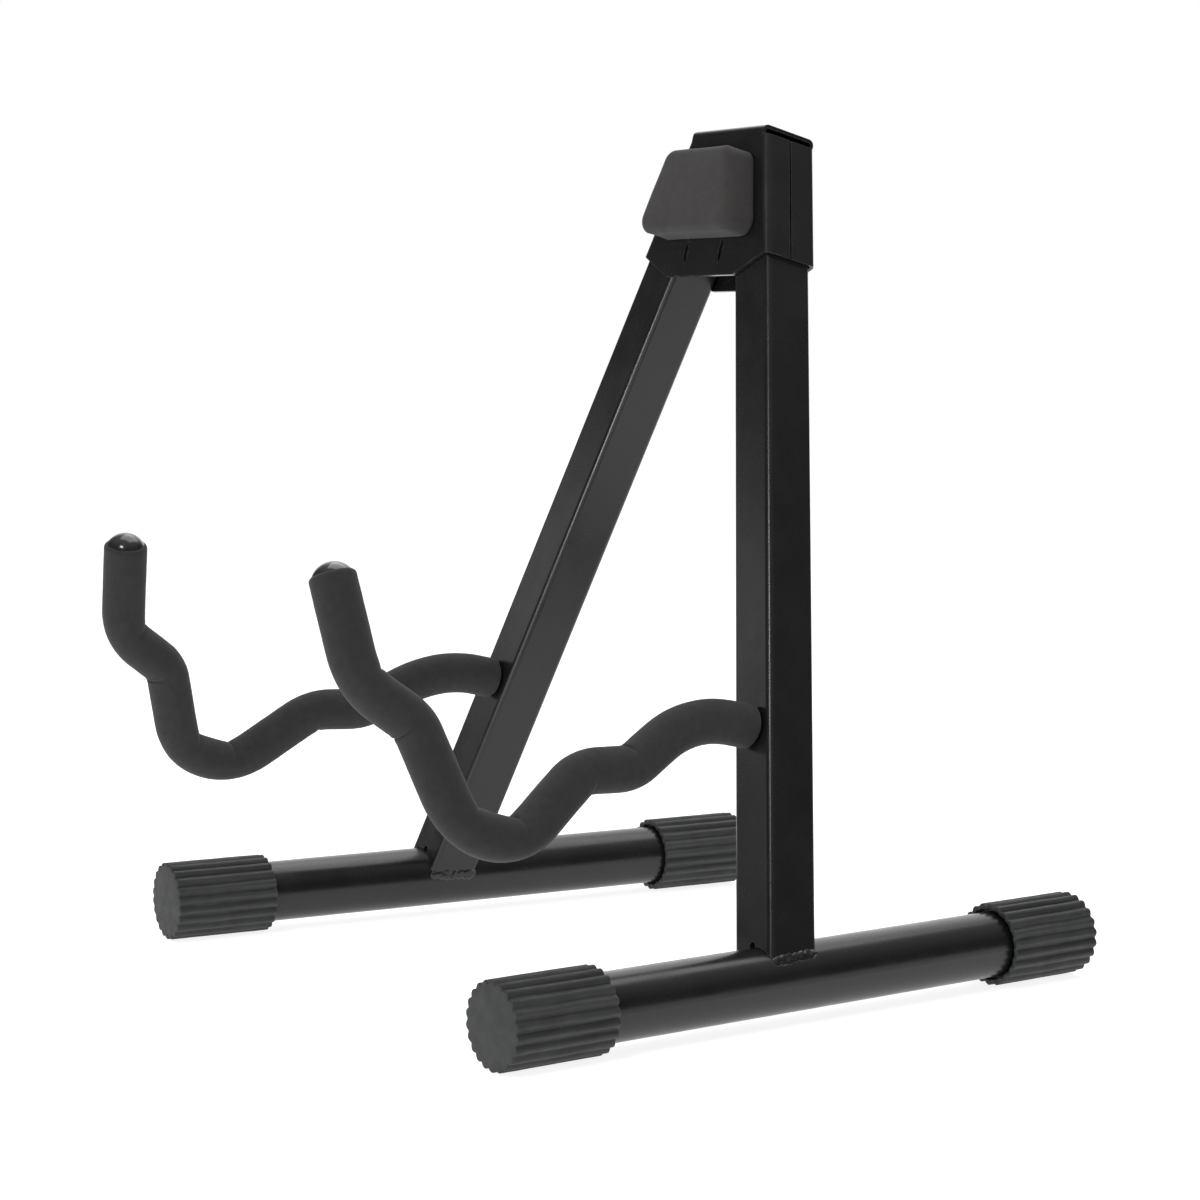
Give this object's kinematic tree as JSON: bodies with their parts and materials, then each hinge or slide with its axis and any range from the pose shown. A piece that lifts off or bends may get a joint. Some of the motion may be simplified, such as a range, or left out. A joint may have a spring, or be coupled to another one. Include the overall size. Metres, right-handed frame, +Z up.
{
  "type": "folding guitar stand",
  "caption": "Low A-frame guitar stand: two square legs hinged in a folded steel saddle with a back pad, ribbed feet and bent foam-covered arms that cradle the body.",
  "frame": {"origin": "on the floor, under the middle of the open stand's outline", "axes": "+Z up; the stand faces -Y, where the arms reach out; +X is the right side seen from in front, and X = 0 is the plane that the two sides mirror in"},
  "size_m": [0.2956, 0.3252, 0.337],
  "materials": {
    "powder_coat": "satin black powder coat",
    "rod_coat": "satin black",
    "rivet_steel": "satin black, coated with the saddle",
    "bush_steel": "plain turned",
    "cap_rubber": "matte moulded",
    "arm_foam": "matte closed-cell foam",
    "pad_foam": "matte foam rubber",
    "tip_plastic": "gloss black moulding"
  },
  "bodies": {
    "saddle": {"back_rest_pad": "pad_foam", "left_pivot_rivet": "rivet_steel", "right_pivot_rivet": "rivet_steel", "saddle_bracket": "powder_coat"},
    "right_leg": {"right_arm_foam": "arm_foam", "right_arm_rod": "rod_coat", "right_arm_tip_cap": "tip_plastic", "right_arm_weld": "powder_coat", "right_foot_tube": "powder_coat", "right_front_foot_cap": "cap_rubber", "right_leg_tube": "powder_coat", "right_leg_weld": "powder_coat", "right_pivot_bush": "bush_steel", "right_rear_foot_cap": "cap_rubber"},
    "left_leg": {"left_arm_foam": "arm_foam", "left_arm_rod": "rod_coat", "left_arm_tip_cap": "tip_plastic", "left_arm_weld": "powder_coat", "left_foot_tube": "powder_coat", "left_front_foot_cap": "cap_rubber", "left_leg_tube": "powder_coat", "left_leg_weld": "powder_coat", "left_pivot_bush": "bush_steel", "left_rear_foot_cap": "cap_rubber"}
  },
  "joints": [
    {"name": "right_leg_fold", "type": "hinge", "parent": "saddle", "child": "right_leg", "pos_m": [0.02136, 0.08008, 0.30774], "axis": [0, 0.9716, -0.2365], "range_deg": [0, 18.93]},
    {"name": "left_leg_fold", "type": "hinge", "parent": "saddle", "child": "left_leg", "pos_m": [-0.02136, 0.08008, 0.30774], "axis": [0, -0.9716, 0.2365], "range_deg": [0, 18.93]}
  ]
}
